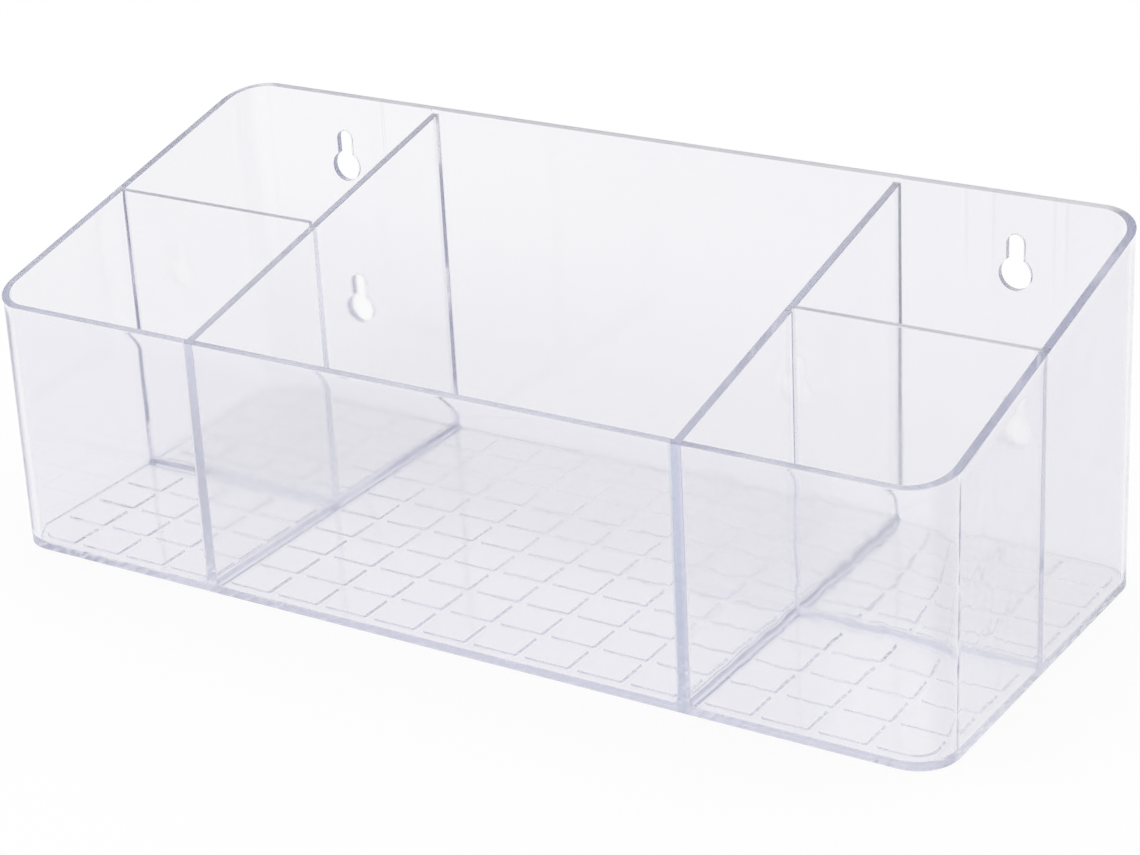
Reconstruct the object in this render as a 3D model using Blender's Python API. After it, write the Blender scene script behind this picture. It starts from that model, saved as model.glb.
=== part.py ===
"""A wall shelf: a clear moulded organiser tray with five open compartments.

Metres, +Z up. The origin is the middle of the base, the width lies along X and
the low front wall faces -Y. The tall back wall has four keyholes for screws.
"""

import math

import bmesh
import bpy
from mathutils import Matrix, Vector

# Overall size. The sides lean outwards, so the shelf is widest at its back rim
BASE_WIDTH = 0.29894
RIM_WIDTH = 0.3
DEPTH = 0.1261
BACK_HEIGHT = 0.106
FRONT_HEIGHT = 0.0755
CORNER_RADIUS = 0.0125

# Walls and floor. Each wall is thickest at its foot, so that it leaves its mould
FLOOR_THICKNESS = 0.0017
FOOT_RADIUS = 0.0012
FRONT_RIM_THICKNESS = 0.00213
FRONT_FOOT_THICKNESS = 0.0028
BACK_RIM_THICKNESS = 0.00205
BACK_FOOT_THICKNESS = 0.0027
SIDE_RIM_THICKNESS = 0.00255
SIDE_FOOT_THICKNESS = 0.00295

# Two dividers run from the front wall to the back wall, a little below the rim
DIVIDER_OFFSET = 0.07687
DIVIDER_TOP_THICKNESS = 0.00224
DIVIDER_FOOT_THICKNESS = 0.003
DIVIDER_FRONT_DROP = 0.0006
DIVIDER_BACK_DROP = 0.001

# A cross partition splits each side bay and ends level with the rim
PARTITION_PLACE = -0.0018
PARTITION_TOP_THICKNESS = 0.0014
PARTITION_FOOT_THICKNESS = 0.0028

# The floor carries a grid of square pads, which stops at every wall
PAD_HEIGHT = 0.0003
PAD_MARGIN = 0.0024
PAD_GAP = 0.002
PAD_ROWS = 9
MIDDLE_PAD_COLUMNS = 9
SIDE_PAD_COLUMNS = 4

# Keyholes in the back wall: two pairs, whose heads are centred this far below the back rim
KEYHOLE_SPACING = 0.224
KEYHOLE_HEAD_DIAMETER = 0.0094
KEYHOLE_SLOT_WIDTH = 0.005
KEYHOLE_HEIGHT = 0.016
UPPER_KEYHOLE_DROP = 0.023
LOWER_KEYHOLE_DROP = 0.0701

# Pieces that meet keep a clearance, cutters run past what they cut, and a curve's caps are welded
SEAT_GAP = 0.0003
OVERRUN = 0.006
WELD_DISTANCE = 1e-6

CORNER_STEPS = 10
FOOT_STEPS = 3
ARC_STEPS = 12

PLASTIC_COLOUR = (0.9, 0.9, 0.97, 1.0)
PLASTIC_ROUGHNESS = 0.05
PLASTIC_IOR = 1.57


def new_collection(name, shown=True):
    """A collection in the scene, which a render leaves out if it holds cutters."""
    collection = bpy.data.collections.new(name)
    bpy.context.scene.collection.children.link(collection)
    collection.hide_render = not shown
    return collection


def new_object(name, mesh, collection):
    """An object in this collection, made from a bmesh that is freed here."""
    data = bpy.data.meshes.new(name)
    bmesh.ops.recalc_face_normals(mesh, faces=mesh.faces)
    mesh.to_mesh(data)
    mesh.free()
    obj = bpy.data.objects.new(name, data)
    collection.objects.link(obj)
    if collection.hide_render:
        obj.hide_render = True
        obj.display_type = "WIRE"
    return obj


def add_boolean(obj, operation, other):
    """Adds an exact Boolean between an object and another one."""
    modifier = obj.modifiers.new(other.name, "BOOLEAN")
    modifier.operation = operation
    modifier.solver = "EXACT"
    modifier.object = other


def clear_plastic(name):
    """Glossy clear plastic with a faint violet tint."""
    material = bpy.data.materials.new(name)
    material.use_nodes = True
    shader = material.node_tree.nodes["Principled BSDF"]
    shader.inputs["Base Color"].default_value = PLASTIC_COLOUR
    shader.inputs["Roughness"].default_value = PLASTIC_ROUGHNESS
    shader.inputs["Metallic"].default_value = 0.0
    shader.inputs["IOR"].default_value = PLASTIC_IOR
    shader.inputs["Transmission Weight"].default_value = 1.0
    return material


def finish(obj):
    """Gives a piece its own material and shades its round faces smooth."""
    obj.data.materials.append(clear_plastic(f"{obj.name}_plastic"))
    obj.data.shade_smooth()
    obj.data.set_sharp_from_angle(angle=math.radians(30))


def block(place):
    """An eight-cornered block, where place gives each corner from its three signs."""
    mesh = bmesh.new()
    bmesh.ops.create_cube(mesh, size=2.0)
    for vert in mesh.verts:
        vert.co = place(*vert.co)
    return mesh


def round_upright_edges(mesh, radius):
    """Rounds the block's four edges that run from its bottom to its top."""
    middle = sum(vert.co.z for vert in mesh.verts) / len(mesh.verts)
    upright = [e for e in mesh.edges if (e.verts[0].co.z < middle) != (e.verts[1].co.z < middle)]
    bmesh.ops.bevel(mesh, geom=upright, offset=radius, segments=CORNER_STEPS, profile=0.5, affect="EDGES")


def round_bottom_edges(mesh, radius):
    """Rounds the edges round the mesh's flat bottom."""
    lowest = min(mesh.faces, key=lambda face: face.calc_center_median().z)
    bmesh.ops.bevel(
        mesh, geom=list(lowest.edges), offset=radius, segments=FOOT_STEPS, profile=0.5, affect="EDGES"
    )


def between(low, high, share):
    """The value this share of the way from low to high."""
    return low + (high - low) * share


def half_width(height):
    """Half the outer width at this height."""
    return between(BASE_WIDTH, RIM_WIDTH, height / BACK_HEIGHT) / 2


def wall_thickness(height, foot, rim, rim_at):
    """A wall's thickness at this height: it thins evenly from its foot to its rim's height."""
    return between(foot, rim, (height - FLOOR_THICKNESS) / (rim_at - FLOOR_THICKNESS))


def front_inside(height):
    """Where the front wall's inner face is, along Y."""
    return wall_thickness(height, FRONT_FOOT_THICKNESS, FRONT_RIM_THICKNESS, FRONT_HEIGHT) - DEPTH / 2


def back_inside(height):
    """Where the back wall's inner face is, along Y."""
    return DEPTH / 2 - wall_thickness(height, BACK_FOOT_THICKNESS, BACK_RIM_THICKNESS, BACK_HEIGHT)


def side_inside(height):
    """How far the side walls' inner faces are from the middle, along X."""
    return half_width(height) - wall_thickness(height, SIDE_FOOT_THICKNESS, SIDE_RIM_THICKNESS, BACK_HEIGHT)


def rim_height(y, front_drop=0.0, back_drop=0.0):
    """Height of the slanted rim at this Y, or of a slope that lies lower by these drops."""
    share = (y + DEPTH / 2) / DEPTH
    return between(FRONT_HEIGHT - front_drop, BACK_HEIGHT - back_drop, share)


def divider_half(height):
    """Half a divider's thickness at this height."""
    return wall_thickness(height, DIVIDER_FOOT_THICKNESS, DIVIDER_TOP_THICKNESS, BACK_HEIGHT) / 2


def partition_half(height):
    """Half a cross partition's thickness at this height: it is thinnest at the rim above it."""
    rim_at = rim_height(PARTITION_PLACE)
    return wall_thickness(height, PARTITION_FOOT_THICKNESS, PARTITION_TOP_THICKNESS, rim_at) / 2


def inside_block(inset, floor):
    """The tub's inside, from this floor up past the rim, drawn in by the inset all round."""
    top = BACK_HEIGHT + OVERRUN

    def place(x, y, z):
        height = top if z > 0 else floor
        side = side_inside(height) - inset
        end = back_inside(height) - inset if y > 0 else front_inside(height) + inset
        return Vector((x * side, end, height))

    mesh = block(place)
    round_upright_edges(mesh, CORNER_RADIUS - SIDE_FOOT_THICKNESS - inset)
    return mesh


def across_bay(sign, inner, half, low, high):
    """A block across a side bay where its partition stands, which reaches into the side wall."""

    def place(x, y, z):
        height = high if z > 0 else low
        side = inner(height) if x * sign < 0 else half_width(height)
        return Vector((sign * side, PARTITION_PLACE + y * half(height), height))

    return block(place)


def above_slope(name, collection, front_drop=0.0, back_drop=0.0):
    """A cutter for all that lies above the slanted rim, or above a slope a little below it."""

    def place(x, y, z):
        end = y * (DEPTH / 2 + OVERRUN)
        height = BACK_HEIGHT + 2 * OVERRUN if z > 0 else rim_height(end, front_drop, back_drop)
        return Vector((x * (RIM_WIDTH / 2 + OVERRUN), end, height))

    return new_object(name, block(place), collection)


def arc(centre, radius, start, end):
    """Points in the XY plane round a centre on the Y axis, angles in degrees."""
    angles = [math.radians(between(start, end, step / ARC_STEPS)) for step in range(ARC_STEPS + 1)]
    return [Vector((radius * math.cos(a), centre + radius * math.sin(a), 0.0)) for a in angles]


def keyhole_outline():
    """A round head at the origin with a narrower slot above it, which ends in a half circle."""
    head = KEYHOLE_HEAD_DIAMETER / 2
    slot = KEYHOLE_SLOT_WIDTH / 2
    neck = math.degrees(math.asin(slot / head))
    slot_centre = KEYHOLE_HEIGHT - head - slot
    return (
        arc(0.0, head, 90.0 + neck, 270.0)
        + arc(0.0, head, 270.0, 450.0 - neck)[1:]
        + arc(slot_centre, slot, 0.0, 180.0)
    )


def keyhole_cutter(name, x, height, collection):
    """A keyhole cutter through the back wall, made from a filled flat curve."""
    outline = keyhole_outline()
    curve = bpy.data.curves.new(name, "CURVE")
    curve.dimensions = "2D"
    curve.fill_mode = "BOTH"
    curve.extrude = OVERRUN
    spline = curve.splines.new("POLY")
    spline.points.add(len(outline) - 1)
    for point, place in zip(spline.points, outline):
        point.co = place.to_4d()
    spline.use_cyclic_u = True
    drawn = bpy.data.objects.new(f"{name}_curve", curve)
    bpy.context.scene.collection.objects.link(drawn)
    bpy.context.view_layer.update()
    data = bpy.data.meshes.new_from_object(drawn.evaluated_get(bpy.context.evaluated_depsgraph_get()))
    bpy.data.objects.remove(drawn)
    mesh = bmesh.new()
    mesh.from_mesh(data)
    bpy.data.meshes.remove(data)
    bmesh.ops.remove_doubles(mesh, verts=mesh.verts, dist=WELD_DISTANCE)
    upright = Matrix.Rotation(math.pi / 2, 4, "X")
    bmesh.ops.transform(mesh, matrix=Matrix.Translation((x, DEPTH / 2, height)) @ upright, verts=mesh.verts)
    return new_object(name, mesh, collection)


def spans(low, high, count):
    """This many equal stretches between low and high, a pad gap apart."""
    size = (high - low - (count - 1) * PAD_GAP) / count
    starts = [low + i * (size + PAD_GAP) for i in range(count)]
    return [(start, start + size) for start in starts]


def pad_columns():
    """The pads' stretches along X: the middle bay, then the side bays."""
    divider_half = DIVIDER_FOOT_THICKNESS / 2 + PAD_MARGIN
    middle = DIVIDER_OFFSET - divider_half
    inner = DIVIDER_OFFSET + divider_half
    outer = side_inside(FLOOR_THICKNESS) - PAD_MARGIN
    side = spans(inner, outer, SIDE_PAD_COLUMNS)
    mirrored = [(-high, -low) for low, high in side]
    return spans(-middle, middle, MIDDLE_PAD_COLUMNS) + side + mirrored


def round_grid_corners(mesh, radius):
    """Rounds the four upright edges at the outermost corners of a grid of blocks."""
    reach = max(vert.co.x for vert in mesh.verts)
    front = min(vert.co.y for vert in mesh.verts)
    back = max(vert.co.y for vert in mesh.verts)

    def outermost(vert):
        at_side = math.isclose(abs(vert.co.x), reach, rel_tol=1e-5)
        at_end = any(math.isclose(vert.co.y, end, rel_tol=1e-5) for end in (front, back))
        return at_side and at_end

    corners = [edge for edge in mesh.edges if all(outermost(vert) for vert in edge.verts)]
    bmesh.ops.bevel(mesh, geom=corners, offset=radius, segments=CORNER_STEPS, profile=0.5, affect="EDGES")


def pad_grid(cutters):
    """Pads bedded in the floor, cut clear of the partitions and rounded at the tub's corners."""
    bed = FLOOR_THICKNESS / 2
    height = FLOOR_THICKNESS + PAD_HEIGHT
    front = front_inside(FLOOR_THICKNESS) + PAD_MARGIN
    back = back_inside(FLOOR_THICKNESS) - PAD_MARGIN
    mesh = bmesh.new()
    for left, right in pad_columns():
        for near, far in spans(front, back, PAD_ROWS):
            centre = Vector((left + right, near + far, bed + height)) / 2
            size = Matrix.Diagonal((right - left, far - near, height - bed, 1.0))
            bmesh.ops.create_cube(mesh, size=1.0, matrix=Matrix.Translation(centre) @ size)
    round_grid_corners(mesh, CORNER_RADIUS - SIDE_FOOT_THICKNESS - PAD_MARGIN)
    pads = new_object("pad_grid", mesh, cutters)
    reach = PARTITION_FOOT_THICKNESS / 2 + PAD_MARGIN
    for name, sign in (("left", -1), ("right", 1)):
        stop = across_bay(sign, lambda _: DIVIDER_OFFSET, lambda _: reach, -OVERRUN, OVERRUN)
        add_boolean(pads, "DIFFERENCE", new_object(f"{name}_pad_stop", stop, cutters))
    return pads


def tray_shell(parts, cutters):
    """The tub: floor, four walls, slanted rim, keyholes and the pads on its floor."""

    def place(x, y, z):
        height = BACK_HEIGHT if z > 0 else 0.0
        return Vector((x * half_width(height), y * DEPTH / 2, height))

    mesh = block(place)
    round_upright_edges(mesh, CORNER_RADIUS)
    shell = new_object("tray_shell", mesh, parts)
    hollow = inside_block(0.0, FLOOR_THICKNESS)
    round_bottom_edges(hollow, FOOT_RADIUS)
    add_boolean(shell, "DIFFERENCE", new_object("tub_hollow", hollow, cutters))
    add_boolean(shell, "DIFFERENCE", above_slope("above_rim", cutters))
    for side, x in (("left", -KEYHOLE_SPACING / 2), ("right", KEYHOLE_SPACING / 2)):
        for level, drop in (("upper", UPPER_KEYHOLE_DROP), ("lower", LOWER_KEYHOLE_DROP)):
            keyhole = keyhole_cutter(f"{level}_{side}_keyhole", x, BACK_HEIGHT - drop, cutters)
            add_boolean(shell, "DIFFERENCE", keyhole)
    add_boolean(shell, "UNION", pad_grid(cutters))
    finish(shell)
    return shell


def divider(name, sign, parts, room, slope):
    """A divider, trimmed to the tub's inside and to the slope below the rim."""

    def place(x, y, z):
        height = BACK_HEIGHT if z > 0 else 0.0
        return Vector((sign * DIVIDER_OFFSET + x * divider_half(height), y * DEPTH / 2, height))

    wall = new_object(name, block(place), parts)
    add_boolean(wall, "INTERSECT", room)
    add_boolean(wall, "DIFFERENCE", slope)
    finish(wall)
    return wall


def cross_partition(name, sign, parts, room, slope):
    """A cross partition from a divider out to the side wall, level with the rim."""

    def inner(height):
        return DIVIDER_OFFSET + divider_half(height) + SEAT_GAP

    wall = new_object(name, across_bay(sign, inner, partition_half, 0.0, BACK_HEIGHT), parts)
    add_boolean(wall, "INTERSECT", room)
    add_boolean(wall, "DIFFERENCE", slope)
    finish(wall)
    return wall


def main():
    for obj in list(bpy.data.objects):
        bpy.data.objects.remove(obj)
    parts = new_collection("wall_shelf")
    cutters = new_collection("cutters", shown=False)
    tray_shell(parts, cutters)
    room_mesh = inside_block(SEAT_GAP, FLOOR_THICKNESS + SEAT_GAP)
    round_bottom_edges(room_mesh, FOOT_RADIUS)
    room = new_object("room_for_walls", room_mesh, cutters)
    rim_slope = above_slope("above_partitions", cutters)
    divider_slope = above_slope("above_dividers", cutters, DIVIDER_FRONT_DROP, DIVIDER_BACK_DROP)
    for name, sign in (("left", -1), ("right", 1)):
        divider(f"{name}_divider", sign, parts, room, divider_slope)
        cross_partition(f"{name}_cross_partition", sign, parts, room, rim_slope)


main()
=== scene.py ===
import math

import bmesh
import bpy
from mathutils import Matrix, Vector
from mathutils.geometry import delaunay_2d_cdt


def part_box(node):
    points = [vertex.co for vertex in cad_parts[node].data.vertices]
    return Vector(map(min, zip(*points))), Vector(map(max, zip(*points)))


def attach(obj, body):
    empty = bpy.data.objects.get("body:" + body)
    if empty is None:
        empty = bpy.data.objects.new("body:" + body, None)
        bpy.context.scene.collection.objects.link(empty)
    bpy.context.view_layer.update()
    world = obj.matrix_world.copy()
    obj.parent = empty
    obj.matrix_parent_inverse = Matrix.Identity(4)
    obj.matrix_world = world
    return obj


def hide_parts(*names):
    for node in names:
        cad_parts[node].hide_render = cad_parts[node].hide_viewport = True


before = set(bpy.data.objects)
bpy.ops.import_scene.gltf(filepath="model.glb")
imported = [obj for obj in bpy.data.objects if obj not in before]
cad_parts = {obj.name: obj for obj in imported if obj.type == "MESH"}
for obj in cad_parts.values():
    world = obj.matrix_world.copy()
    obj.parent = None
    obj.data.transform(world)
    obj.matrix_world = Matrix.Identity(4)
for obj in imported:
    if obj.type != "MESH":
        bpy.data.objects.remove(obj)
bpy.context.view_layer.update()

# Half the width and depth, and the middle planes of the dividers and partitions, as in the solids
HALF_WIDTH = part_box("tray_shell")[1].x
HALF_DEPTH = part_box("tray_shell")[1].y
DIVIDER_OFFSET = sum(corner.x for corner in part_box("right_divider")) / 2
PARTITION_PLACE = sum(corner.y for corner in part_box("right_cross_partition")) / 2

# The rim's height at the back and at the front, and half the width at the base
BACK_HEIGHT = 0.106
FRONT_HEIGHT = 0.0755
BASE_HALF_WIDTH = 0.14947

# Corner radii outside, which grow a little from the base to the rim, and how much less they are inside
BASE_RADIUS = 0.0115
RIM_RADIUS = 0.013
LEFT_CORNER_WALL = 0.0026
RIGHT_CORNER_WALL = 0.0020

# Thickness of each wall at its foot and at its top
FRONT_WALL = (0.0023, 0.00213)
BACK_WALL = (0.0024, 0.00205)
SIDE_WALL = (0.0026, 0.00255)
DIVIDER_WALL = (0.003, 0.00224)
PARTITION_WALL = (0.0028, 0.0014)
FLOOR_THICKNESS = 0.0017

# The front and side walls flare outwards to the rim, by this much and over this depth
LIP = 0.00035
LIP_DEPTH = 0.005

# How far the dividers' tops lie below the rim, at the front and at the back
DIVIDER_DROPS = (0.0006, 0.001)

# Small radii: along every top edge, round the base, at the feet of the inner walls and of the tub's, and
# where walls meet
TOP_ROUND = 0.00025
BASE_ROUND = 0.0002
FOOT_ROUND = 0.0021
TUB_FOOT_ROUND = 0.0005
JOIN_ROUND = 0.0005

# Floor pads: height at the front and at the back, distances from the tub's outer faces and from each divider
# and partition, and the stretch from the front over which they turn from front pads to back pads
PAD_HEIGHTS = (0.0005, 0.0001)
PAD_FADE = (0.02, 0.09)
RIGHT_PAD_FADE_SHARE = 0.3
PAD_FRONT = 0.0052
PAD_BACK = 0.0051
PAD_SIDE = 0.00535
PAD_MARGIN = 0.0024
PAD_GAP = 0.002
PAD_ROWS = 9
MIDDLE_PAD_COLUMNS = 9
SIDE_PAD_COLUMNS = 4
PAD_CORNER_ROUND = 0.0011
PAD_FRONT_SLOPES = (0.00005, 0.0009)
PAD_SIDE_SLOPE = 0.0007

# Keyholes in the back wall
KEYHOLE_SPACING = 0.224
KEYHOLE_HEAD_DIAMETER = 0.0094
KEYHOLE_SLOT_WIDTH = 0.005
KEYHOLE_HEIGHT = 0.016
KEYHOLE_DROPS = (0.023, 0.0701)
KEYHOLE_ROUND = 0.0003
CUTTER_OVERRUN = 0.002

# How many steps each curve is made of
LIP_STEPS = 14
TUB_CORNER_STEPS = 16
WELL_CORNER_STEPS = 20
JOIN_STEPS = 5
TOP_ROUND_STEPS = 4
BASE_ROUND_STEPS = 3
FOOT_STEPS = 6
TUB_FOOT_STEPS = 4
PAD_CORNER_STEPS = 3
PAD_LARGE_CORNER_STEPS = 12
PAD_SLOPE_STEPS = 5
KEYHOLE_STEPS = 48
KEYHOLE_ROUND_STEPS = 5

# Rounds in which a point on a rounded corner finds its height, and the least radius that a corner keeps
HEIGHT_TRIES = 4
LEAST_RADIUS = 0.00005

# Faces between outlines are filled in millimetres, with this tolerance
MM = 0.001
FILL_TOLERANCE = 1e-7

# Edges sharper than this keep a crease, and larger faces count more in the shading across the others
CREASE_DEGREES = 35
NORMAL_WEIGHT = 50

# The camera that took the photograph
CAMERA_PLACE = (0.425577, -0.638403, 0.373099)
CAMERA_TARGET = (0.047123, -0.06305, 0.074216)
CAMERA_ROLL = -2.98
CAMERA_LENS = 94.426
SENSOR_WIDTH = 36.0
NEAREST_SEEN = 0.01

# The studio floor, which glows white but for the share that it takes from the light that falls on it
STUDIO_FLOOR_GAP = 0.0002
STUDIO_FLOOR_RADIUS = 6.0
STUDIO_FLOOR_SIDES = 64
STUDIO_FLOOR_SHADE = 0.1

# Light runs a long way inside the walls before it leaves them
LIGHT_BOUNCES = 160

# The plastic itself
PLASTIC_IOR = 1.57
INSIDE_COLOUR = (0.10, 0.15, 0.60, 1.0)
INSIDE_DENSITY = 2.3

# Colour that passes a wall, through its two faces, with painted shade and a painted highlight laid over it in
# places
FRONT_TINT = (0.953, 0.947, 0.970, 1.0)
FRONT_LEFT_TINT = (0.88, 0.874, 0.90, 1.0)
# Paler at the front right corner: a painted highlight in place of the light reflected on the rounded corner
FRONT_RIGHT_PAINTED_HIGHLIGHT = (0.99, 0.988, 1.0, 1.0)
SIDE_TINT = (0.92, 0.914, 0.94, 1.0)
BACK_LEFT_TINT = (0.952, 0.947, 0.97, 1.0)
# Darker towards the back wall's right end and towards its foot: painted shade for the dimmer light behind and
# below the tray, over the plastic's tint
BACK_RIGHT_TINT_AND_PAINTED_SHADE = (0.905, 0.896, 0.928, 1.0)
BACK_FOOT_TINT_AND_PAINTED_SHADE = (0.888, 0.880, 0.915, 1.0)
# The floor is darker than the walls, most towards the back: painted shadow of the tray on the table under it,
# over the plastic's tint
FLOOR_NEAR_TINT_AND_PAINTED_SHADOW = (0.935, 0.932, 0.958, 1.0)
FLOOR_FAR_TINT_AND_PAINTED_SHADOW = (0.862, 0.858, 0.890, 1.0)
FLOW_LINE_TINT = (0.84, 0.832, 0.87, 1.0)
INNER_TINT = (1.0, 1.0, 1.0, 1.0)
# Darker and bluer at the inner walls' feet: painted shade in the creases where they meet the floor
FOOT_TINT_AND_PAINTED_SHADE = (0.93, 0.94, 1.0, 1.0)
# A dark band of painted shade on the front wall's outside where the right divider ends, in place of the dark
# band that light running in the divider shows
RIGHT_DIVIDER_END_PAINTED_SHADE = (0.72, 0.78, 0.86, 1.0)

# Where those colours change, as the stretch over which one fades into the next
FRONT_LEFT_FADE = (-0.146, -0.14)
FRONT_RIGHT_HIGHLIGHT_FADE = (0.11, 0.13)
BACK_WIDTH_FADE = (-0.14, 0.14)
BACK_HEIGHT_FADE = (0.02, 0.09)
FLOOR_DEPTH_FADE = (-0.03, 0.03)
SIDE_WALL_FADE = (HALF_WIDTH - 0.006, HALF_WIDTH - 0.003)
BACK_WALL_FADE = (HALF_DEPTH - 0.006, HALF_DEPTH - 0.003)
DIVIDER_END_SHADE_FADE = (0.0012, 0.0016)
FRONT_FACE_FADE = (0.0006 - HALF_DEPTH, 0.0008 - HALF_DEPTH)

# Faint flow lines in the back wall: their places, and how they fade sideways and downwards
FLOW_LINES = (-0.097, 0.0974, 0.1054, 0.1232, 0.1268)
FLOW_LINE_FADE = (0.0001, 0.0003)
FLOW_LINE_HEIGHT_FADE = (0.07, 0.1)

# Soft waves everywhere, and finer ripples within a distance of one place
WAVE_HEIGHT = 0.00012
WAVE_NOISE = (45.0, 1.0)
RIPPLE_HEIGHT = 0.00012
RIPPLE_NOISE = (110.0, 1.0)
RIPPLE_PLACE = (0.115, -0.063, 0.03)
RIPPLE_FADE = (0.035, 0.08)

# Distances outward from a rectangle through the corner centres, at which the tub's walls begin, and then
# their outsides
TUB_WALL_FADE = (0.0088, 0.0094)
TUB_OUTSIDE_FADE = (0.0108, 0.0112)

# Heights at which the underside, the floor's edge and the floor end, and the inner walls' feet start and end
UNDERSIDE_FADE = (0.0004, 0.0008)
FLOOR_EDGE_FADE = (0.0018, 0.0022)
FLOOR_FADE = (0.0021, 0.003)
FOOT_START_FADE = (0.0012, 0.0016)
FOOT_END_FADE = (0.0036, 0.0042)

# Distances from a divider's and a partition's middle plane at which its foot ends, and from the tray's middle
# at which the side bays begin
DIVIDER_FOOT_FADE = (0.0034, 0.0037)
PARTITION_FOOT_FADE = (0.0033, 0.0036)
BESIDE_DIVIDER_FADE = (DIVIDER_OFFSET - 0.0001, DIVIDER_OFFSET)

# Top edges: how far below the rim plane they still count, how level they are, and what marks the cross ones
TOP_DEPTH_FADE = (-0.002, -0.0015)
TOP_LEVEL_FADE = (0.7, 0.9)
PARTITION_TOP_FADE = (0.001, 0.0014)
BACK_TOP_FADE = (HALF_DEPTH - 0.003, HALF_DEPTH - 0.002)

# How satin each surface is
ROUGHNESS_NOISE = (60.0, 3.0)
ROUGHNESS_NOISE_SPAN = (0.3, 0.7)
PLAIN_ROUGHNESS = (0.03, 0.07)
BACK_ROUGHNESS_FADE = (HALF_DEPTH - 0.004, HALF_DEPTH - 0.003)
UNDERSIDE_ROUGHNESS = 0.05
BACK_WALL_ROUGHNESS = 0.1
EDGE_ROUGHNESS = 0.22
CROSS_EDGE_ROUGHNESS = 0.9
FLOOR_EDGE_ROUGHNESS = 0.05
FOOT_ROUGHNESS = 0.2
MISTY_ROUGHNESS = 0.1
MISTY_HEIGHT_FADE = (0.03, 0.07)
MISTY_WIDTH_FADE = (-0.02, 0.02)
MISTY_RIGHT_SHARE = 0.15


def between(low, high, share):
    return low + (high - low) * share


def smooth(share):
    return share * share * (3 - 2 * share)


def rim_height(y):
    """Height of the slanted rim plane at this Y."""
    return between(FRONT_HEIGHT, BACK_HEIGHT, (y + HALF_DEPTH) / (2 * HALF_DEPTH))


def thickness(wall, height, top):
    """A wall's thickness at this height, from its foot on the floor to its top."""
    return between(*wall, (height - FLOOR_THICKNESS) / (top - FLOOR_THICKNESS))


def fillet(height, radius):
    """How far a wall's rounded foot reaches out at this height."""
    up = min(max(height - FLOOR_THICKNESS, 0.0), radius)
    return radius - math.sqrt(radius ** 2 - (radius - up) ** 2)


def outer_half(height):
    return between(BASE_HALF_WIDTH, HALF_WIDTH, height / BACK_HEIGHT)


def outer_radius(height):
    return between(BASE_RADIUS, RIM_RADIUS, height / BACK_HEIGHT)


def side_inside(height):
    return outer_half(height) - thickness(SIDE_WALL, height, BACK_HEIGHT) - fillet(height, TUB_FOOT_ROUND)


def front_inside(height):
    return thickness(FRONT_WALL, height, FRONT_HEIGHT) + fillet(height, TUB_FOOT_ROUND) - HALF_DEPTH


def back_inside(height):
    return HALF_DEPTH - thickness(BACK_WALL, height, BACK_HEIGHT) - fillet(height, TUB_FOOT_ROUND)


def divider_half(height):
    return thickness(DIVIDER_WALL, height, BACK_HEIGHT) / 2 + fillet(height, FOOT_ROUND)


def partition_half(height):
    return thickness(PARTITION_WALL, height, rim_height(PARTITION_PLACE)) / 2 + fillet(height, FOOT_ROUND)


def no_drop(y):
    return 0.0


def divider_drop(y):
    return between(*DIVIDER_DROPS, (y + HALF_DEPTH) / (2 * HALF_DEPTH))


def left_corner(height):
    """Radius inside the tub's left corners."""
    return outer_radius(height) - LEFT_CORNER_WALL - fillet(height, TUB_FOOT_ROUND)


def right_corner(height):
    """Radius inside the tub's right corners."""
    return outer_radius(height) - RIGHT_CORNER_WALL - fillet(height, TUB_FOOT_ROUND)


def join_corner(height):
    return JOIN_ROUND


class Outline:
    """A rectangle with rounded corners whose sides and radii change with height.

    Sides are in the order right, back, left, front. Corner i joins side i to side i + 1.
    """

    def __init__(self, sides, radii, steps, drops=(no_drop,) * 4):
        self.sides = sides
        self.radii = radii
        self.steps = steps
        self.drops = drops

    def place(self, corner, angle, height, grow):
        right, back, left, front = (side(height) for side in self.sides)
        radius = max(self.radii[corner](height) + grow, LEAST_RADIUS)
        x = right + grow - radius if corner in (0, 3) else left - grow + radius
        y = back + grow - radius if corner in (0, 1) else front - grow + radius
        return x + radius * math.cos(angle), y + radius * math.sin(angle)

    def ring(self, level, grow=0.0):
        """Points anticlockwise, where level gives a point's height from its Y and its drop."""
        points = []
        for corner in range(4):
            before, after = self.drops[corner], self.drops[(corner + 1) % 4]
            for step in range(self.steps[corner] + 1):
                share = step / self.steps[corner]
                angle = (corner + share) * math.pi / 2
                height = BACK_HEIGHT
                for _ in range(HEIGHT_TRIES):
                    x, y = self.place(corner, angle, height, grow)
                    height = level(y, between(before(y), after(y), smooth(share)))
                points.append(Vector((x, y, height)))
        return points


def flat(height):
    return lambda y, drop: height


def below_rim(depth):
    return lambda y, drop: rim_height(y) - drop - depth


def below_lip(depth):
    """How far the outside lies behind the rim's edge at this depth, on a curve that ends in the wall."""
    return LIP * (1 - (1 - min(depth / LIP_DEPTH, 1.0)) ** 3)


def quarter(radius, steps):
    """(sideways, down) offsets of a rounded edge, from the flat face round to the upright one."""
    angles = [step * math.pi / 2 / steps for step in range(steps + 1)]
    return [(radius * (1 - math.sin(a)), radius * (1 - math.cos(a))) for a in angles]


def add_rings(mesh, rings):
    """Adds rings of points, joined one to the next, and returns the first and last rings' vertices."""
    made = [[mesh.verts.new(point) for point in ring] for ring in rings]
    for lower, upper in zip(made, made[1:]):
        for i in range(len(lower)):
            j = (i + 1) % len(lower)
            mesh.faces.new((lower[i], lower[j], upper[j], upper[i]))
    return made[0], made[-1]


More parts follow.
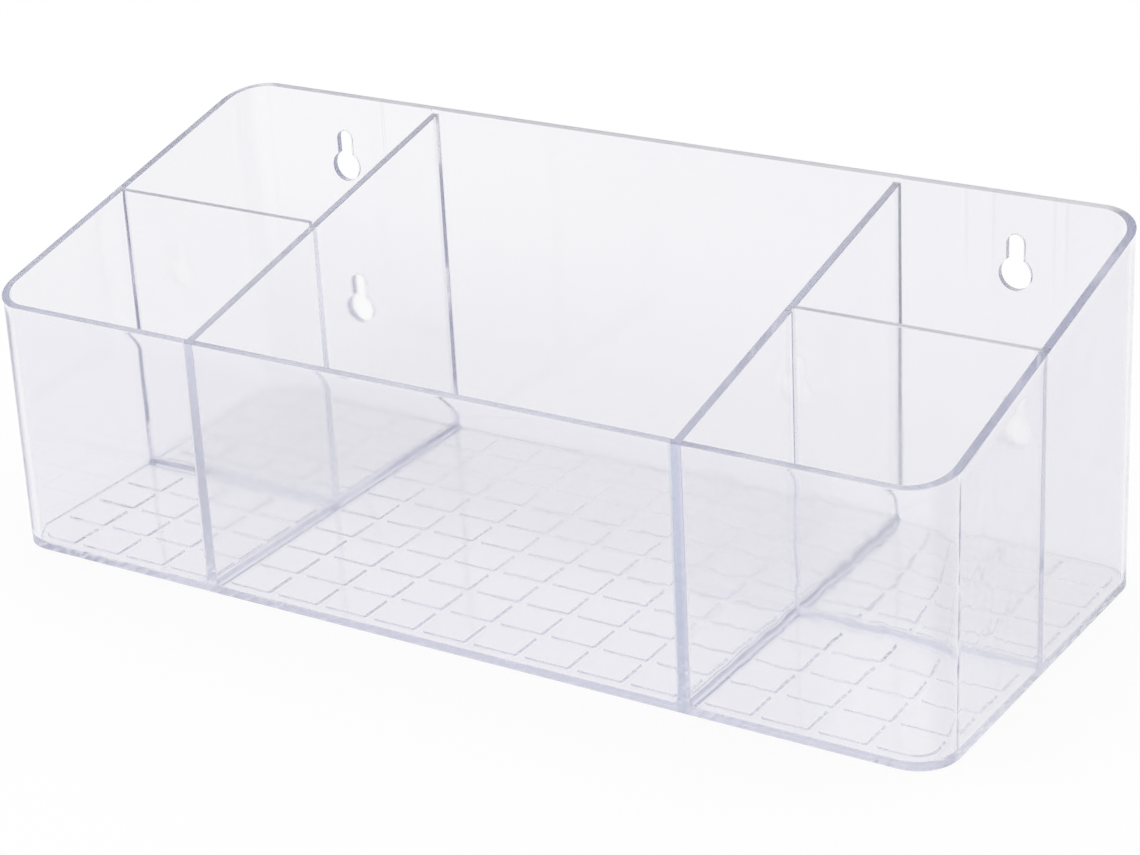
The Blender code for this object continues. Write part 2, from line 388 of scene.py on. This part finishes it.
def fill(mesh, boundary, holes=()):
    """Fills the space seen from above between a ring of vertices and the rings inside it."""
    rings = [boundary, *holes]
    verts = [vert for ring in rings for vert in ring]
    loops = []
    start = 0
    for ring in rings:
        loops.append(list(range(start, start + len(ring))))
        start += len(ring)
    points = [vert.co.xy / MM for vert in verts]
    _, _, faces, sources, _, inside = delaunay_2d_cdt(points, [], loops, 1, FILL_TOLERANCE)
    for face, owners in zip(faces, inside):
        if list(owners) == [0]:
            mesh.faces.new([verts[sources[i][0]] for i in face])


def tub_outline(recess=0.0):
    """The tub's outside, with its front and sides this far behind the rim's edge, and its back flat."""
    sides = (
        lambda z: outer_half(z) - recess,
        lambda z: HALF_DEPTH,
        lambda z: recess - outer_half(z),
        lambda z: recess - HALF_DEPTH,
    )
    return Outline(sides, (lambda z: outer_radius(z) - recess,) * 4, (TUB_CORNER_STEPS,) * 4)


def wells():
    """The five compartments, by name."""
    left = (left_corner, WELL_CORNER_STEPS)
    right = (right_corner, WELL_CORNER_STEPS)
    join = (join_corner, JOIN_STEPS)

    def well(sides, corners, drops):
        return Outline(sides, [radius for radius, _ in corners], [steps for _, steps in corners], drops)

    def right_of_divider(z):
        return DIVIDER_OFFSET + divider_half(z)

    def left_of_divider(z):
        return DIVIDER_OFFSET - divider_half(z)

    def behind_partition(z):
        return PARTITION_PLACE + partition_half(z)

    def before_partition(z):
        return PARTITION_PLACE - partition_half(z)

    def minus(side):
        return lambda z: -side(z)

    return {
        "middle": well(
            (left_of_divider, back_inside, minus(left_of_divider), front_inside),
            (join, join, join, join),
            (divider_drop, no_drop, divider_drop, no_drop),
        ),
        "right_back": well(
            (side_inside, back_inside, right_of_divider, behind_partition),
            (right, join, join, join),
            (no_drop, no_drop, divider_drop, no_drop),
        ),
        "right_front": well(
            (side_inside, before_partition, right_of_divider, front_inside),
            (join, join, join, right),
            (no_drop, no_drop, divider_drop, no_drop),
        ),
        "left_back": well(
            (minus(right_of_divider), back_inside, minus(side_inside), behind_partition),
            (join, left, join, join),
            (divider_drop, no_drop, no_drop, no_drop),
        ),
        "left_front": well(
            (minus(right_of_divider), before_partition, minus(side_inside), front_inside),
            (join, join, left, join),
            (divider_drop, no_drop, no_drop, no_drop),
        ),
    }


def spans(low, high, count):
    """This many equal stretches between low and high, a pad gap apart."""
    size = (high - low - (count - 1) * PAD_GAP) / count
    return [(low + i * (size + PAD_GAP), low + i * (size + PAD_GAP) + size) for i in range(count)]


def clear_of(stretches, low, high):
    """The stretches, cut back to what lies outside low to high."""
    cut = []
    for start, end in stretches:
        cut += [(a, b) for a, b in ((start, min(end, low)), (max(start, high), end)) if b - a > PAD_GAP]
    return cut


def pad_stretches(name):
    """The pads' stretches along X and along Y in this well."""
    divider = DIVIDER_WALL[0] / 2 + PAD_MARGIN
    partition = PARTITION_WALL[0] / 2 + PAD_MARGIN
    rows = spans(PAD_FRONT - HALF_DEPTH, HALF_DEPTH - PAD_BACK, PAD_ROWS)
    if name == "middle":
        reach = DIVIDER_OFFSET - divider
        return spans(-reach, reach, MIDDLE_PAD_COLUMNS), rows
    columns = spans(DIVIDER_OFFSET + divider, BASE_HALF_WIDTH - PAD_SIDE, SIDE_PAD_COLUMNS)
    rows = clear_of(rows, PARTITION_PLACE - partition, PARTITION_PLACE + partition)
    rows = [row for row in rows if (row[0] > PARTITION_PLACE) == name.endswith("back")]
    if name.startswith("left"):
        columns = [(-right, -left) for left, right in columns]
    return columns, rows


def pad_outline(column, row, name, columns, rows, front_slope, share):
    """One pad at this share of its sloping edges, with the tub's large radius in a corner of the tub."""
    (left, right), (front, back) = column, row
    side = "right" if name.startswith("right") else "left"
    outer = max(columns)[1] == right if side == "right" else min(columns)[0] == left
    radii = [PAD_CORNER_ROUND] * 4
    steps = [PAD_CORNER_STEPS] * 4
    if name != "middle" and outer:
        corner = None
        if name.endswith("back") and back == max(rows)[1]:
            corner = 0 if side == "right" else 1
        if name.endswith("front") and front == min(rows)[0]:
            corner = 3 if side == "right" else 2
        if corner is not None:
            radii[corner] = BASE_RADIUS - PAD_SIDE
            steps[corner] = PAD_LARGE_CORNER_STEPS
    inset = PAD_SIDE_SLOPE * share
    edges = (right - inset, back - inset, left + inset, front + front_slope * share)
    sides = [lambda z, edge=edge: edge for edge in edges]
    return Outline(sides, [lambda z, radius=radius: radius - inset for radius in radii], steps)


def add_pad(mesh, column, row, name, columns, rows):
    """A pad that is lower and softer at its front edge the further back it lies."""
    start, end = PAD_FADE
    back_share = min(max((row[0] + HALF_DEPTH - start) / (end - start), 0.0), 1.0)
    if name.startswith("right"):
        back_share *= RIGHT_PAD_FADE_SHARE
    height = between(*PAD_HEIGHTS, back_share)
    front_slope = between(*PAD_FRONT_SLOPES, back_share)
    rings = []
    for step in range(PAD_SLOPE_STEPS + 1):
        share = step / PAD_SLOPE_STEPS
        outline = pad_outline(column, row, name, columns, rows, front_slope, share)
        rings.append(outline.ring(flat(FLOOR_THICKNESS + height * smooth(share))))
    foot, edge = add_rings(mesh, rings)
    mesh.faces.new(edge)
    return foot


def add_well(mesh, name, outline):
    """Adds a compartment's walls, floor and pads, and returns the vertices of its top edge."""
    rings = []
    feet = quarter(FOOT_ROUND, FOOT_STEPS) + quarter(TUB_FOOT_ROUND, TUB_FOOT_STEPS)
    for up in sorted({up for _, up in feet}):
        rings.append(outline.ring(flat(FLOOR_THICKNESS + up)))
    for sideways, down in reversed(quarter(TOP_ROUND, TOP_ROUND_STEPS)):
        rings.append(outline.ring(below_rim(down), sideways))
    floor, top = add_rings(mesh, rings)
    columns, rows = pad_stretches(name)
    pads = [add_pad(mesh, column, row, name, columns, rows) for column in columns for row in rows]
    fill(mesh, floor, pads)
    return top


def keyhole_cutter(x, height):
    """A keyhole's shape, long enough to pass through the back wall."""
    head = KEYHOLE_HEAD_DIAMETER / 2
    slot = KEYHOLE_SLOT_WIDTH / 2
    neck = math.asin(slot / head)
    rise = KEYHOLE_HEIGHT - head - slot

    def ring(y, grow):
        steps = KEYHOLE_STEPS
        angles = [between(math.pi / 2 + neck, 2.5 * math.pi - neck, i / steps) for i in range(steps + 1)]
        points = [((head + grow) * math.cos(a), (head + grow) * math.sin(a)) for a in angles]
        angles = [math.pi * i / (steps / 2) for i in range(steps // 2 + 1)]
        points += [((slot + grow) * math.cos(a), rise + (slot + grow) * math.sin(a)) for a in angles]
        return [Vector((x + u, y, height + v)) for u, v in points]

    mesh = bmesh.new()
    face = back_inside(height)
    mouth = quarter(KEYHOLE_ROUND, KEYHOLE_ROUND_STEPS)
    rings = [ring(face - CUTTER_OVERRUN, KEYHOLE_ROUND)]
    rings += [ring(face + down, sideways) for sideways, down in mouth]
    rings += [ring(HALF_DEPTH - down, sideways) for sideways, down in reversed(mouth)]
    rings += [ring(HALF_DEPTH + CUTTER_OVERRUN, KEYHOLE_ROUND)]
    near, far = add_rings(mesh, rings)
    mesh.faces.new(near)
    mesh.faces.new(far)
    bmesh.ops.recalc_face_normals(mesh, faces=mesh.faces)
    data = bpy.data.meshes.new("keyhole")
    mesh.to_mesh(data)
    mesh.free()
    cutter = bpy.data.objects.new("keyhole", data)
    bpy.context.scene.collection.objects.link(cutter)
    return cutter


def build_tray():
    """The whole moulding as one closed mesh."""
    mesh = bmesh.new()
    rings = []
    for sideways, up in quarter(BASE_ROUND, BASE_ROUND_STEPS):
        rings.append(tub_outline().ring(flat(up), -sideways))
    for step in range(LIP_STEPS):
        depth = between(LIP_DEPTH, TOP_ROUND, step / LIP_STEPS)
        rings.append(tub_outline(below_lip(depth)).ring(below_rim(depth)))
    for sideways, down in reversed(quarter(TOP_ROUND, TOP_ROUND_STEPS)):
        rings.append(tub_outline(below_lip(down)).ring(below_rim(down), -sideways))
    base, rim = add_rings(mesh, rings)
    fill(mesh, base)
    tops = [add_well(mesh, name, well) for name, well in wells().items()]
    fill(mesh, rim, tops)
    bmesh.ops.recalc_face_normals(mesh, faces=mesh.faces)
    data = bpy.data.meshes.new("clear_tray")
    mesh.to_mesh(data)
    mesh.free()
    tray = bpy.data.objects.new("clear_tray", data)
    bpy.context.scene.collection.objects.link(tray)
    places = [(side * KEYHOLE_SPACING / 2, BACK_HEIGHT - drop) for side in (-1, 1) for drop in KEYHOLE_DROPS]
    cutters = [keyhole_cutter(*place) for place in places]
    for cutter in cutters:
        modifier = tray.modifiers.new("keyhole", "BOOLEAN")
        modifier.operation = "DIFFERENCE"
        modifier.solver = "EXACT"
        modifier.object = cutter
    bpy.context.view_layer.update()
    tray.data = bpy.data.meshes.new_from_object(tray.evaluated_get(bpy.context.evaluated_depsgraph_get()))
    tray.modifiers.clear()
    for cutter in cutters:
        bpy.data.objects.remove(cutter)
    tray.data.shade_smooth()
    tray.data.set_sharp_from_angle(angle=math.radians(CREASE_DEGREES))
    normals = tray.modifiers.new("face_normals", "WEIGHTED_NORMAL")
    normals.mode = "FACE_AREA"
    normals.weight = NORMAL_WEIGHT
    normals.keep_sharp = True
    return tray


def mapped(tree, value, low, high, first, last):
    """Turns low to high into first to last, smoothly, and holds the ends."""
    node = tree.nodes.new("ShaderNodeMapRange")
    node.interpolation_type = "SMOOTHSTEP"
    tree.links.new(value, node.inputs["Value"])
    for name, number in (("From Min", low), ("From Max", high), ("To Min", first), ("To Max", last)):
        node.inputs[name].default_value = number
    return node.outputs["Result"]


def math_node(tree, operation, first, second=None):
    node = tree.nodes.new("ShaderNodeMath")
    node.operation = operation
    for socket, value in zip(node.inputs, (first, second)):
        if isinstance(value, float):
            socket.default_value = value
        elif value is not None:
            tree.links.new(value, socket)
    return node.outputs["Value"]


def mixed(tree, share, first, second):
    node = tree.nodes.new("ShaderNodeMix")
    node.data_type = "RGBA"
    tree.links.new(share, node.inputs["Factor"])
    for name, colour in (("A", first), ("B", second)):
        if isinstance(colour, tuple):
            node.inputs[name].default_value = colour
        else:
            tree.links.new(colour, node.inputs[name])
    return node.outputs["Result"]


def outward(tree, place):
    """How far a point lies outside a rectangle that runs through the tub's corner centres."""
    beyond = []
    for axis, reach in (("X", HALF_WIDTH - RIM_RADIUS), ("Y", HALF_DEPTH - RIM_RADIUS)):
        away = math_node(tree, "SUBTRACT", math_node(tree, "ABSOLUTE", place.outputs[axis]), reach)
        beyond.append(math_node(tree, "MAXIMUM", away, 0.0))
    squares = [math_node(tree, "POWER", away, 2.0) for away in beyond]
    return math_node(tree, "SQRT", math_node(tree, "ADD", *squares))


def outer_wall_share(tree, place):
    """One on the tub's walls and floor, and zero on the dividers and partitions."""
    walls = mapped(tree, outward(tree, place), *TUB_WALL_FADE, 0.0, 1.0)
    return math_node(tree, "MAXIMUM", walls, floor_share(tree, place))


def floor_share(tree, place):
    return mapped(tree, place.outputs["Z"], *FLOOR_FADE, 1.0, 0.0)


def from_partition(tree, place):
    """Distance from the middle plane of the cross partitions."""
    return math_node(tree, "ABSOLUTE", math_node(tree, "SUBTRACT", place.outputs["Y"], PARTITION_PLACE))


def inner_foot_share(tree, place):
    """One on the rounded feet of the dividers and partitions, and zero elsewhere."""
    across = math_node(tree, "ABSOLUTE", place.outputs["X"])
    from_divider = math_node(tree, "ABSOLUTE", math_node(tree, "SUBTRACT", across, DIVIDER_OFFSET))
    divider = mapped(tree, from_divider, *DIVIDER_FOOT_FADE, 1.0, 0.0)
    partition = mapped(tree, from_partition(tree, place), *PARTITION_FOOT_FADE, 1.0, 0.0)
    beside = mapped(tree, across, *BESIDE_DIVIDER_FADE, 0.0, 1.0)
    near = math_node(tree, "MAXIMUM", divider, math_node(tree, "MULTIPLY", partition, beside))
    above = mapped(tree, place.outputs["Z"], *FOOT_START_FADE, 0.0, 1.0)
    level = math_node(tree, "MULTIPLY", above, mapped(tree, place.outputs["Z"], *FOOT_END_FADE, 1.0, 0.0))
    return math_node(tree, "MULTIPLY", near, level)


def right_divider_end_painted_shade_share(tree, place):
    """One on the front wall's outside where the right divider ends, where a band of painted shade goes, and
    zero elsewhere.
    """
    away = math_node(tree, "ABSOLUTE", math_node(tree, "SUBTRACT", place.outputs["X"], DIVIDER_OFFSET))
    across = mapped(tree, away, *DIVIDER_END_SHADE_FADE, 1.0, 0.0)
    outside = mapped(tree, place.outputs["Y"], *FRONT_FACE_FADE, 1.0, 0.0)
    return math_node(tree, "MULTIPLY", across, outside)


def flow_line_share(tree, place):
    """One on the thin upright flow lines in the upper back wall, and zero elsewhere."""
    share = 0.0
    for line in FLOW_LINES:
        away = math_node(tree, "ABSOLUTE", math_node(tree, "SUBTRACT", place.outputs["X"], line))
        share = math_node(tree, "MAXIMUM", mapped(tree, away, *FLOW_LINE_FADE, 1.0, 0.0), share)
    high = mapped(tree, place.outputs["Z"], *FLOW_LINE_HEIGHT_FADE, 0.0, 1.0)
    return math_node(tree, "MULTIPLY", share, high)


def tint_and_painted_light(tree, place):
    """The plastic's colour with painted light laid over it: deeper in the sides; darker as painted shade in
    the back wall's right half and foot, in the far floor, at the inner walls' feet and where the right
    divider ends; paler as a painted highlight at the front right corner.

    The side walls' top and bottom faces keep the inner walls' colour.
    """
    left = mapped(tree, place.outputs["X"], *FRONT_LEFT_FADE, 1.0, 0.0)
    # The front wall turns paler at its right corner: a painted highlight
    right = mapped(tree, place.outputs["X"], *FRONT_RIGHT_HIGHLIGHT_FADE, 0.0, 1.0)
    front = mixed(tree, left, mixed(tree, right, FRONT_TINT, FRONT_RIGHT_PAINTED_HIGHLIGHT), FRONT_LEFT_TINT)
    # The back wall darkens to the right and towards its foot: painted shade
    along = mapped(tree, place.outputs["X"], *BACK_WIDTH_FADE, 0.0, 1.0)
    back = mixed(tree, along, BACK_LEFT_TINT, BACK_RIGHT_TINT_AND_PAINTED_SHADE)
    low = mapped(tree, place.outputs["Z"], *BACK_HEIGHT_FADE, 1.0, 0.0)
    back = mixed(tree, low, back, BACK_FOOT_TINT_AND_PAINTED_SHADE)
    back = mixed(tree, flow_line_share(tree, place), back, FLOW_LINE_TINT)
    across = math_node(tree, "ABSOLUTE", place.outputs["X"])
    side_share = mapped(tree, across, *SIDE_WALL_FADE, 0.0, 1.0)
    back_share = mapped(tree, place.outputs["Y"], *BACK_WALL_FADE, 0.0, 1.0)
    walls = mixed(tree, back_share, mixed(tree, side_share, front, SIDE_TINT), back)
    tint = mixed(tree, outer_wall_share(tree, place), INNER_TINT, walls)
    # The floor darkens towards the back: painted shadow
    far = mapped(tree, place.outputs["Y"], *FLOOR_DEPTH_FADE, 0.0, 1.0)
    floor = mixed(tree, far, FLOOR_NEAR_TINT_AND_PAINTED_SHADOW, FLOOR_FAR_TINT_AND_PAINTED_SHADOW)
    tint = mixed(tree, floor_share(tree, place), tint, floor)
    underside = mapped(tree, place.outputs["Z"], *UNDERSIDE_FADE, 1.0, 0.0)
    ends = math_node(tree, "MAXIMUM", edge_share(tree, place), underside)
    tint = mixed(tree, math_node(tree, "MULTIPLY", side_share, ends), tint, INNER_TINT)
    # The inner walls' feet get painted shade
    tint = mixed(tree, inner_foot_share(tree, place), tint, FOOT_TINT_AND_PAINTED_SHADE)
    # Where the right divider ends, a band of painted shade
    return mixed(tree, right_divider_end_painted_shade_share(tree, place), tint, RIGHT_DIVIDER_END_PAINTED_SHADE)


def floor_edge_share(tree, place, most):
    """The given amount on the outside round the floor's edge, and zero elsewhere."""
    outside = mapped(tree, outward(tree, place), *TUB_OUTSIDE_FADE, 0.0, most)
    return math_node(tree, "MULTIPLY", outside, mapped(tree, place.outputs["Z"], *FLOOR_EDGE_FADE, 1.0, 0.0))


def noise(tree, scale, detail):
    node = tree.nodes.new("ShaderNodeTexNoise")
    node.inputs["Scale"].default_value = scale
    node.inputs["Detail"].default_value = detail
    tree.links.new(tree.nodes.new("ShaderNodeTexCoord").outputs["Object"], node.inputs["Vector"])
    return node.outputs["Fac"]


def edge_roughness(tree, place):
    """How satin each top edge is: more along the back wall and the partitions than on the rest."""
    partition = mapped(tree, from_partition(tree, place), *PARTITION_TOP_FADE, 1.0, 0.0)
    back = mapped(tree, place.outputs["Y"], *BACK_TOP_FADE, 0.0, 1.0)
    most = math_node(tree, "MULTIPLY", math_node(tree, "MAXIMUM", partition, back), CROSS_EDGE_ROUGHNESS)
    return math_node(tree, "MAXIMUM", most, EDGE_ROUGHNESS)


def edge_share(tree, place):
    """One on the walls' top edges, and zero elsewhere."""
    slope = (BACK_HEIGHT - FRONT_HEIGHT) / (2 * HALF_DEPTH)
    level = math_node(tree, "MULTIPLY", place.outputs["Y"], slope)
    level = math_node(tree, "SUBTRACT", place.outputs["Z"], level)
    start, end = (rim_height(0.0) + depth for depth in TOP_DEPTH_FADE)
    high = mapped(tree, level, start, end, 0.0, 1.0)
    turn = tree.nodes.new("ShaderNodeSeparateXYZ")
    tree.links.new(tree.nodes.new("ShaderNodeNewGeometry").outputs["Normal"], turn.inputs["Vector"])
    upright = math_node(tree, "ABSOLUTE", turn.outputs["Z"])
    return math_node(tree, "MULTIPLY", high, mapped(tree, upright, *TOP_LEVEL_FADE, 0.0, 1.0))


def ripple_height(tree, place):
    """Height of the small ripples on the tub's walls round the front right corner."""
    away = tree.nodes.new("ShaderNodeVectorMath")
    away.operation = "DISTANCE"
    tree.links.new(tree.nodes.new("ShaderNodeTexCoord").outputs["Object"], away.inputs[0])
    away.inputs[1].default_value = RIPPLE_PLACE
    near = mapped(tree, away.outputs["Value"], *RIPPLE_FADE, RIPPLE_HEIGHT, 0.0)
    return math_node(tree, "MULTIPLY", near, mapped(tree, outward(tree, place), *TUB_WALL_FADE, 0.0, 1.0))


def clear_plastic():
    material = bpy.data.materials.new("clear_plastic")
    material.use_nodes = True
    tree = material.node_tree
    nodes, links = tree.nodes, tree.links
    shader = nodes["Principled BSDF"]
    shader.inputs["IOR"].default_value = PLASTIC_IOR
    shader.inputs["Transmission Weight"].default_value = 1.0
    place = nodes.new("ShaderNodeSeparateXYZ")
    links.new(nodes.new("ShaderNodeTexCoord").outputs["Object"], place.inputs["Vector"])
    links.new(tint_and_painted_light(tree, place), shader.inputs["Base Color"])
    rough = mapped(tree, noise(tree, *ROUGHNESS_NOISE), *ROUGHNESS_NOISE_SPAN, *PLAIN_ROUGHNESS)
    inner_walls = math_node(tree, "SUBTRACT", 1.0, outer_wall_share(tree, place))
    misty = mapped(tree, place.outputs["Z"], *MISTY_HEIGHT_FADE, MISTY_ROUGHNESS, 0.0)
    across = mapped(tree, place.outputs["X"], *MISTY_WIDTH_FADE, 1.0, MISTY_RIGHT_SHARE)
    misty = math_node(tree, "MULTIPLY", math_node(tree, "MULTIPLY", misty, across), inner_walls)
    back = mapped(tree, place.outputs["Y"], *BACK_ROUGHNESS_FADE, 0.0, BACK_WALL_ROUGHNESS)
    satin = mapped(tree, place.outputs["Z"], *UNDERSIDE_FADE, UNDERSIDE_ROUGHNESS, 0.0)
    satin = math_node(tree, "MAXIMUM", satin, floor_edge_share(tree, place, FLOOR_EDGE_ROUGHNESS))
    edges = math_node(tree, "MULTIPLY", edge_share(tree, place), edge_roughness(tree, place))
    feet = math_node(tree, "MULTIPLY", inner_foot_share(tree, place), FOOT_ROUGHNESS)
    for share in (misty, back, satin, edges, feet):
        rough = math_node(tree, "MAXIMUM", rough, share)
    links.new(rough, shader.inputs["Roughness"])
    bump = nodes.new("ShaderNodeBump")
    bump.inputs["Distance"].default_value = 1.0
    waves = math_node(tree, "MULTIPLY", noise(tree, *WAVE_NOISE), WAVE_HEIGHT)
    ripples = math_node(tree, "MULTIPLY", noise(tree, *RIPPLE_NOISE), ripple_height(tree, place))
    links.new(math_node(tree, "ADD", waves, ripples), bump.inputs["Height"])
    links.new(bump.outputs["Normal"], shader.inputs["Normal"])
    volume = nodes.new("ShaderNodeVolumeAbsorption")
    volume.inputs["Color"].default_value = INSIDE_COLOUR
    volume.inputs["Density"].default_value = INSIDE_DENSITY
    links.new(volume.outputs["Volume"], nodes["Material Output"].inputs["Volume"])
    return material


def studio_floor():
    mesh = bmesh.new()
    bmesh.ops.create_circle(mesh, cap_ends=True, radius=STUDIO_FLOOR_RADIUS, segments=STUDIO_FLOOR_SIDES)
    bmesh.ops.translate(mesh, verts=mesh.verts, vec=(0, 0, -STUDIO_FLOOR_GAP))
    data = bpy.data.meshes.new("studio_floor")
    mesh.to_mesh(data)
    mesh.free()
    floor = bpy.data.objects.new("studio_floor", data)
    bpy.context.scene.collection.objects.link(floor)
    material = bpy.data.materials.new("studio_floor")
    material.use_nodes = True
    shader = material.node_tree.nodes["Principled BSDF"]
    shade = (STUDIO_FLOOR_SHADE,) * 3
    shader.inputs["Base Color"].default_value = (*shade, 1.0)
    shader.inputs["Roughness"].default_value = 1.0
    shader.inputs["Specular IOR Level"].default_value = 0.0
    shader.inputs["Emission Color"].default_value = (1.0, 1.0, 1.0, 1.0)
    shader.inputs["Emission Strength"].default_value = 1.0 - STUDIO_FLOOR_SHADE
    data.materials.append(material)


def studio_world():
    world = bpy.data.worlds.new("studio")
    bpy.context.scene.world = world
    world.use_nodes = True
    world.node_tree.nodes["Background"].inputs["Color"].default_value = (1.0, 1.0, 1.0, 1.0)


def place_camera():
    data = bpy.data.cameras.new("camera")
    data.sensor_width = SENSOR_WIDTH
    data.lens = CAMERA_LENS
    data.clip_start = NEAREST_SEEN
    camera = bpy.data.objects.new("camera", data)
    bpy.context.scene.collection.objects.link(camera)
    place, target = Vector(CAMERA_PLACE), Vector(CAMERA_TARGET)
    aim = (target - place).to_track_quat("-Z", "Y").to_matrix().to_4x4()
    camera.matrix_world = Matrix.Translation(place) @ aim @ Matrix.Rotation(math.radians(CAMERA_ROLL), 4, "Z")
    bpy.context.scene.camera = camera


def main():
    scene = bpy.context.scene
    scene.view_settings.view_transform = "Standard"
    scene.cycles.max_bounces = LIGHT_BOUNCES
    scene.cycles.glossy_bounces = LIGHT_BOUNCES
    scene.cycles.transmission_bounces = LIGHT_BOUNCES
    tray = build_tray()
    tray.data.materials.clear()
    tray.data.materials.append(clear_plastic())
    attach(tray, "root")
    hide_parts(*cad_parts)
    studio_floor()
    studio_world()
    place_camera()


main()
